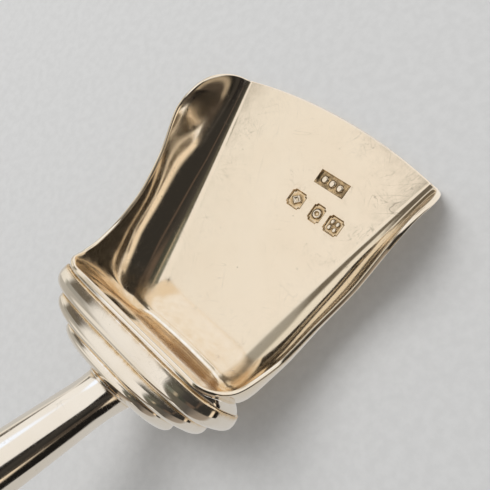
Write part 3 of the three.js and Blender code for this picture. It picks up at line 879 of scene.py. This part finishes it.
def worn_silver(name, colour, deeper, polish, waves, film):
    """Polished silver: its two tones, how rough its polish is, its waves, and how much film and painted fold
    reflection it holds.
    """
    made, t = new_material(name)
    shader = t.nodes["Principled BSDF"]
    scaled = node(t, "ShaderNodeVectorMath", operation="SCALE")
    place = feed(t, scaled, Vector=object_place(t), Scale=1000.0).outputs[0]
    cloud, fog = noise(t, place, *CLOUD), noise(t, place, *FOG)
    lines, fine = (
        calc(t, "ADD", *(hairlines(t, place, *line) for line in layer)) for layer in (LINES, FINE_LINES)
    )
    dots = pits(t, place, *PITS)

    # The film value turns the colour amber, then brown. On the bowl's back fold it is a painted reflection.
    film_and_reflection = node(t, "ShaderNodeAttribute", attribute_name="tarnish_and_fold_reflection").outputs["Fac"]
    dull_film_and_reflection = calc(t, "MULTIPLY", film_and_reflection, between(t, fog, *FILM_FOG))
    brown_film_and_reflection = calc(t, "MULTIPLY", dull_film_and_reflection, film, clamp=True)
    tone = blend_colour(t, between(t, cloud, *CLOUD_RANGE), colour, deeper)
    tint = calc(t, "ADD", calc(t, "MULTIPLY", lines, LINE_TINT), calc(t, "MULTIPLY", dots, PIT_TINT))
    golden = blend_colour(t, between(t, brown_film_and_reflection, *AMBER_RANGE), blend_colour(t, tint, tone, FILM), AMBER_FILM_AND_REFLECTION)
    feed(t, shader, Base_Color=blend_colour(t, between(t, brown_film_and_reflection, *FILM_RANGE), golden, FILM), Metallic=1.0)

    rough = between(t, fog, *FOG_RANGE, polish, polish + FOG_ROUGHNESS)
    rough = calc(t, "ADD", rough, calc(t, "MULTIPLY", calc(t, "ADD", lines, fine), LINE_ROUGHNESS))
    rough = calc(t, "ADD", rough, calc(t, "MULTIPLY", dull_film_and_reflection, FILM_ROUGHNESS), clamp=True)
    worn = calc(t, "ADD", calc(t, "MULTIPLY", lines, LINE_SHARE), dots)
    worn = calc(t, "ADD", calc(t, "MULTIPLY", worn, -PIT_DEPTH), calc(t, "MULTIPLY", fine, -FINE_DEPTH))
    height = calc(t, "ADD", calc(t, "MULTIPLY", noise(t, place, *WAVE), waves), worn)
    bump = feed(t, node(t, "ShaderNodeBump"), Height=height, Distance=MM, Strength=1.0)
    feed(t, shader, Roughness=rough, Normal=bump.outputs[0])
    return made


# %% The finishes, and which piece has which
WARM, WARM_DEEP = (0.925, 0.82, 0.675), (0.912, 0.8, 0.65)
COOL, COOL_DEEP = (0.92, 0.855, 0.765), (0.885, 0.81, 0.71)
# Two tones of the metal, how rough its polish is, how high its waves are and how much film it holds. The
# bowl's film includes a painted reflection along its back fold.
LOOKS = {
    "bowl": (WARM, WARM_DEEP, 0.07, 0.005, 1.0),
    "shoulder": (COOL, COOL_DEEP, 0.05, 0.004, 0.7),
    "handle": (COOL, COOL_DEEP, 0.06, 0.005, 0.7),
    "cap": (COOL, COOL_DEEP, 0.07, 0.005, 0.6),
}
finishes = {f"{part}_silver": worn_silver(f"{part}_worn_silver", *look) for part, look in LOOKS.items()}
for piece in (bowl, shoulder, handle, end_cap, bowl_bead, root_bead, cap_bead):
    piece.data.materials.append(finishes[piece["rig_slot"]])
print("finishes:", sorted(finishes))

# %% [markdown]
# ## The paper floor
# The spoon stands on plain pale paper, with a soft shadow beside it. A shadow catcher would show nothing of
# the ground it stands on, so the paper is a real sheet with a faint grain. The silver doesn't mirror it,
# because a tent of its own gives the silver all its reflections.

# %% The paper
PAPER_HALF, PAPER_GRAIN, GRAIN_RANGE, PAPER_ROUGHNESS = 1.5, (900.0, 4.0), (0.3, 0.7), 0.85
PAPER_LOW, PAPER_HIGH = (0.70, 0.70, 0.695), (0.74, 0.74, 0.735)


def stage_piece(name, points, faces, material):
    """A thing of the studio, which isn't part of the spoon."""
    mesh = bpy.data.meshes.new(name)
    mesh.from_pydata(points, [], faces)
    mesh.materials.append(material)
    made = bpy.data.objects.new(name, mesh)
    bpy.context.scene.collection.objects.link(made)
    made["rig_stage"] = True
    print(f"{name}: {len(faces)} faces")
    return made


def paper():
    made, t = new_material("pale_paper")
    grain = between(t, noise(t, object_place(t), *PAPER_GRAIN), *GRAIN_RANGE)
    tone = blend_colour(t, grain, PAPER_LOW, PAPER_HIGH)
    feed(t, t.nodes["Principled BSDF"], Base_Color=tone, Roughness=PAPER_ROUGHNESS)
    return made


paper_corners = [(PAPER_HALF * x, PAPER_HALF * y, 0) for x, y in ((-1, -1), (1, -1), (1, 1), (-1, 1))]
paper_floor = stage_piece("paper_floor", paper_corners, [(0, 1, 2, 3)], paper())
paper_floor.visible_glossy = False

# %% [markdown]
# ## The tent that the silver reflects
# Silver shows its surroundings, so the surroundings are most of its look. A picture of a room would put
# strange things into it. So round the spoon stands a tent that only reflections see: bright at the far side,
# with a dark flag on the camera's side and overhead. The bands in the walls of the bowl come from there. The
# tent has five zones from the handle's side to the lip's side, and each has its own bands.

# %% Colours of the bands
PALE, CREAM, BROWN, BRIGHT = (0.6, 0.59, 0.57), (0.9, 0.77, 0.6), (0.075, 0.06, 0.048), (0.93, 0.9, 0.86)
BLACK, INK, WARM_DARK = (0.035, 0.033, 0.03), (0.012, 0.011, 0.01), (0.13, 0.095, 0.073)
LIGHT, WHITE, DUSK = (0.9, 0.88, 0.84), (0.93, 0.92, 0.9), (0.1, 0.095, 0.075)
GREEN_GREY, TAN = (0.17, 0.18, 0.145), (0.42, 0.35, 0.26)
# Bands by their angle in degrees: the far horizon is at 0, straight up at 90 and the near horizon at 180.
ZONES = [
    [
        (-5, PALE), (0, (0.5, 0.48, 0.44)), (51, (0.45, 0.43, 0.39)), (55, (0.86, 0.84, 0.81)),
        (71.8, BRIGHT), (73.4, (0.14, 0.13, 0.1)), (100, (0.1, 0.09, 0.08)), (125, (0.28, 0.24, 0.2)),
        (165, (0.35, 0.3, 0.25)), (185, PALE),
    ],
    [
        (-5, PALE), (0, (0.8, 0.77, 0.7)), (25, (0.84, 0.81, 0.74)), (31, (0.36, 0.35, 0.31)),
        (50, (0.38, 0.37, 0.34)), (54, (0.88, 0.86, 0.82)), (71.8, BRIGHT), (73.4, GREEN_GREY),
        (79.5, GREEN_GREY), (81.5, (0.6, 0.5, 0.36)), (83.5, (0.07, 0.075, 0.06)), (92, (0.06, 0.06, 0.05)),
        (97, WARM_DARK), (106, WARM_DARK), (110, (0.055, 0.05, 0.043)), (117, BLACK), (160, BLACK),
        (166, CREAM), (178, CREAM), (183, INK), (207, INK), (213, PALE),
    ],
    [
        (-5, PALE), (0, (0.85, 0.82, 0.75)), (30, (0.88, 0.85, 0.78)), (36, (0.17, 0.15, 0.12)),
        (51, (0.15, 0.13, 0.1)), (53.5, LIGHT), (71.8, BRIGHT), (73.4, DUSK), (80, (0.12, 0.115, 0.09)),
        (88, (0.06, 0.055, 0.05)), (108, BLACK), (111, WARM_DARK), (115, BLACK), (160, BLACK),
        (166, CREAM), (178, CREAM), (183, INK), (212, INK), (217, PALE),
    ],
    [
        (-4, PALE), (3, (0.9, 0.87, 0.82)), (8, (0.13, 0.115, 0.09)), (50, (0.14, 0.12, 0.1)),
        (53, LIGHT), (64.5, BRIGHT), (67, DUSK), (90, (0.05, 0.047, 0.042)), (108, BLACK),
        (112, WARM_DARK), (117, BLACK), (150, BLACK), (158, (0.06, 0.055, 0.05)), (165, BLACK),
        (178, BROWN), (183, BROWN), (188, INK), (216, INK), (222, PALE),
    ],
    [
        (-4, PALE), (0, (0.9, 0.88, 0.85)), (73, WHITE), (77, (0.3, 0.27, 0.23)), (81, BLACK),
        (149, (0.02, 0.018, 0.017)), (157, (0.05, 0.045, 0.04)), (166, (0.04, 0.037, 0.033)), (174, INK),
        (178, (0.05, 0.045, 0.035)), (182, TAN), (185.5, TAN), (188, BROWN), (216, (0.03, 0.025, 0.02)),
        (222, PALE),
    ],
]
ZONE_BLENDS = ((-0.25, -0.2), (-0.04, 0.0), (0.2, 0.225), (0.36, 0.38))
print("zones:", len(ZONES), "bands:", [len(bands) for bands in ZONES])


def band_colours(tree, turn, bands):
    """Colours by the angle, from the far horizon over the top to the near one. Below both, it is pale."""
    ramp = node(tree, "ShaderNodeValToRGB")
    stops = ramp.color_ramp.elements
    for angle, colour in bands:
        stops.new((angle + 90) / 360).color = (*colour, 1)
    stops[0].color = stops[len(bands) + 1].color = (*PALE, 1)
    return feed(tree, ramp, Fac=turn).outputs[0]


# %% Round windows, and the bright side beyond the lip
# Windows by their direction and height, the angles from their middle where they start and stop fading, and
# their light.
WINDOWS = [
    (39, 41, 7, 14, (1.04, 1.16, 1.38)),
    (27, 12, 8, 14, (0.3, 0.22, 0.15)),
    (142, 36, 10, 18, (0.85, 0.82, 0.76)),
]
BEYOND_X, BEYOND_Y, BEYOND_BLEND, BEYOND_START = 0.719, 0.695, (0.0, 0.03), (0.4, 0.47)


def window(tree, way, azimuth, height, low, high):
    """How far a direction lies inside a round window, by the angle to its middle."""
    a, e = math.radians(azimuth), math.radians(height)
    middle = (math.cos(e) * math.cos(a), math.cos(e) * math.sin(a), math.sin(e))
    made = feed(tree, node(tree, "ShaderNodeVectorMath", operation="DOT_PRODUCT"), Vector=way)
    made.inputs[1].default_value = middle
    return between(tree, made.outputs["Value"], math.cos(math.radians(high)), math.cos(math.radians(low)))


def beyond_lip(tree, x, y):
    """How far a direction lies on the bright side beyond the lip, away from the camera."""
    side = calc(tree, "ADD", calc(tree, "MULTIPLY", x, BEYOND_X), calc(tree, "MULTIPLY", y, BEYOND_Y))
    return calc(tree, "MULTIPLY", between(tree, side, *BEYOND_BLEND), between(tree, x, *BEYOND_START))


# %% The tent's cloth
def tent_cloth():
    made, t = new_material("tent_cloth")
    t.nodes.remove(t.nodes["Principled BSDF"])
    unit = node(t, "ShaderNodeVectorMath", operation="NORMALIZE")
    way = feed(t, unit, Vector=object_place(t)).outputs[0]
    x, y, z = feed(t, node(t, "ShaderNodeSeparateXYZ"), Vector=way).outputs
    from_top = calc(t, "ARCTAN2", calc(t, "MULTIPLY", y, -1.0), z)
    turn = calc(t, "ADD", calc(t, "DIVIDE", from_top, 2 * math.pi), 0.5)
    glow = band_colours(t, turn, ZONES[0])
    for (low, high), bands in zip(ZONE_BLENDS, ZONES[1:]):
        glow = blend_colour(t, between(t, x, low, high), glow, band_colours(t, turn, bands))
    glow = blend_colour(t, beyond_lip(t, x, y), glow, WHITE)
    for azimuth, height, low, high, colour in WINDOWS:
        glow = blend_colour(t, window(t, way, azimuth, height, low, high), glow, colour)
    cloth = feed(t, node(t, "ShaderNodeEmission"), Color=glow, Strength=1.0)
    t.links.new(cloth.outputs[0], t.nodes["Material Output"].inputs["Surface"])
    return made


# %% The tent
TENT_RADIUS, TENT_RINGS, TENT_SIDES = 1.2, 24, 64


def globe(radius, rings, sides):
    """Points and faces of a whole sphere."""
    turns = [2 * math.pi * k / sides for k in range(sides)]
    points, faces = [], []
    for i in range(rings + 1):
        rise = math.pi * (i / rings - 0.5)
        wide, level = radius * math.cos(rise), radius * math.sin(rise)
        points += [(wide * math.cos(a), wide * math.sin(a), level) for a in turns]
    for low in range(0, rings * sides, sides):
        high = low + sides
        for k in range(sides):
            after = (k + 1) % sides
            faces.append((low + k, high + k, high + after, low + after))
    return points, faces


tent = stage_piece("reflection_tent", *globe(TENT_RADIUS, TENT_RINGS, TENT_SIDES), tent_cloth())
tent.visible_camera = tent.visible_diffuse = tent.visible_shadow = tent.visible_transmission = False

# %% [markdown]
# ## Light for the paper
# One soft lamp lights the paper and gives the spoon its shadow. A sun would make the shadow's edge hard. The
# lamp doesn't show in the silver, so the bands of the tent stay as they are. The air round the studio fills
# the shadow, and it is paler where the camera sees it past the paper's edge.

# %% The lamp
LAMP_AT, LAMP_SIZE, LAMP_WATTS = Vector((0.12, 0.3, 0.6)), 0.45, 2.6
lamp_data = bpy.data.lights.new("paper_softbox", "AREA")
lamp_data.shape, lamp_data.size, lamp_data.size_y = "RECTANGLE", LAMP_SIZE, LAMP_SIZE
lamp_data.energy = LAMP_WATTS
lamp = bpy.data.objects.new("paper_softbox", lamp_data)
lamp.location = LAMP_AT
lamp.rotation_mode = "QUATERNION"
lamp.rotation_quaternion = (-LAMP_AT).to_track_quat("-Z", "Y")
lamp.visible_glossy = False
bpy.context.scene.collection.objects.link(lamp)
print("lamp:", round(LAMP_AT.length, 3), "m from the spoon")

# %% The air
AIR, FAR_AIR = (0.42, 0.42, 0.42), (0.72, 0.72, 0.715)
world = bpy.data.worlds.new("studio_air")
bpy.context.scene.world = world
world.use_nodes = True
air_tree = world.node_tree
path = node(air_tree, "ShaderNodeLightPath").outputs
seen = calc(air_tree, "ADD", path["Is Camera Ray"], path["Is Glossy Ray"])
seen = calc(air_tree, "ADD", seen, path["Is Transmission Ray"], clamp=True)
air_colour = blend_colour(air_tree, seen, AIR, FAR_AIR)
feed(air_tree, air_tree.nodes["Background"], Color=air_colour, Strength=1.0)
print("air:", AIR, "and far off", FAR_AIR)

# %% [markdown]
# ## The camera
# The camera was fitted to the photograph: to the mirror symmetry of the bowl, the outline of its floor, and
# the edges of its rim, shoulder and handle. Its place is written in millimetres from the middle of the floor.

# %% The camera
LENS, SENSOR = 44.08, 36.0
CAMERA_AT = Vector((2.974, -32.924, 61.983)) * MM
CAMERA_RIGHT = Vector((0.57192, -0.69862, -0.42993))
CAMERA_UP = Vector((0.81703, 0.53194, 0.22249))
CAMERA_FORWARD = Vector((-0.07326, 0.47851, -0.87502))
camera_data = bpy.data.cameras.new("photo_camera")
camera_data.lens, camera_data.sensor_width = LENS, SENSOR
camera_data.clip_start, camera_data.clip_end = 0.001, 10
camera = bpy.data.objects.new("photo_camera", camera_data)
bpy.context.scene.collection.objects.link(camera)
camera_turn = Matrix((CAMERA_RIGHT, CAMERA_UP, -CAMERA_FORWARD)).transposed()
camera.matrix_world = Matrix.Translation(CAMERA_AT) @ camera_turn.to_4x4()
bpy.context.scene.camera = camera
print("camera:", round(CAMERA_AT.length / MM, 1), "mm from the middle of the floor")

# %% Standard view, sizes and finish
bpy.context.scene.view_settings.view_transform = "Standard"
dressed_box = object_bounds()
for name, box in (("solids", solids_box), ("dressed", dressed_box)):
    print(name, [[round(1000 * c, 2) for c in v] for v in box])
